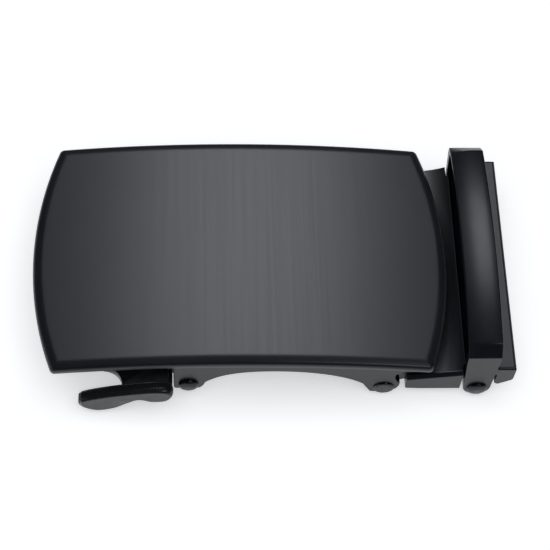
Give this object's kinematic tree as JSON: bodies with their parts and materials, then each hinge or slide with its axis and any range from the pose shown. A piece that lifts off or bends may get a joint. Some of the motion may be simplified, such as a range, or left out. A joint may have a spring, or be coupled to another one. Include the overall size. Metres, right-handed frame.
{
  "type": "belt buckle",
  "caption": "Automatic ratchet belt buckle with a bowed brushed black face, side release lever, spring pawl, hinged tail and folding strap clamp with keeper loop.",
  "frame": {"origin": "centre of the bounding box on the plane that the buckle's rear rests on", "axes": "+X along the belt from the face to the clamp tail, +Y across the belt away from the release lever, +Z out of the decorative face"},
  "size_m": [0.075, 0.0424, 0.0165],
  "materials": {
    "brushed_black": "brushed along the width, satin black coat",
    "satin_black": "satin black coat on die-cast zinc",
    "black_steel": "blackened steel pins and screws",
    "bright_steel": "plain hardened steel"
  },
  "bodies": {
    "frame": {"face_plate": "brushed_black", "chassis": "satin_black", "face_screw_1": "black_steel", "face_screw_2": "black_steel", "face_screw_3": "black_steel", "face_screw_4": "black_steel", "pawl_pin": "black_steel", "pawl_spring": "bright_steel", "hinge_pin": "black_steel"},
    "pawl_set": {"pawl": "bright_steel", "release_lever": "satin_black", "lever_dowel": "black_steel"},
    "tail": {"tail_housing": "satin_black", "clamp_rivet_near": "black_steel", "clamp_rivet_far": "black_steel"},
    "clamp": {"clamp_loop": "satin_black", "grip_plate": "bright_steel"}
  },
  "joints": [
    {"name": "pawl_swing", "type": "hinge", "parent": "frame", "child": "pawl_set", "pos_m": [-0.01315, 0.00115, 0.00405], "axis": [0, 1, 0], "range_deg": [0, 14], "stiffness_Nm_per_rad": 0.02, "springref_deg": -20.05, "deforming": ["pawl_spring"]},
    {"name": "tail_hinge", "type": "hinge", "parent": "frame", "child": "tail", "pos_m": [0.01745, 0.00115, 0.00255], "axis": [0, 1, 0], "range_deg": [0, 90]},
    {"name": "clamp_swing", "type": "hinge", "parent": "tail", "child": "clamp", "pos_m": [0.03225, 0.00115, 0.00215], "axis": [0, 1, 0], "range_deg": [0, 85]}
  ]
}
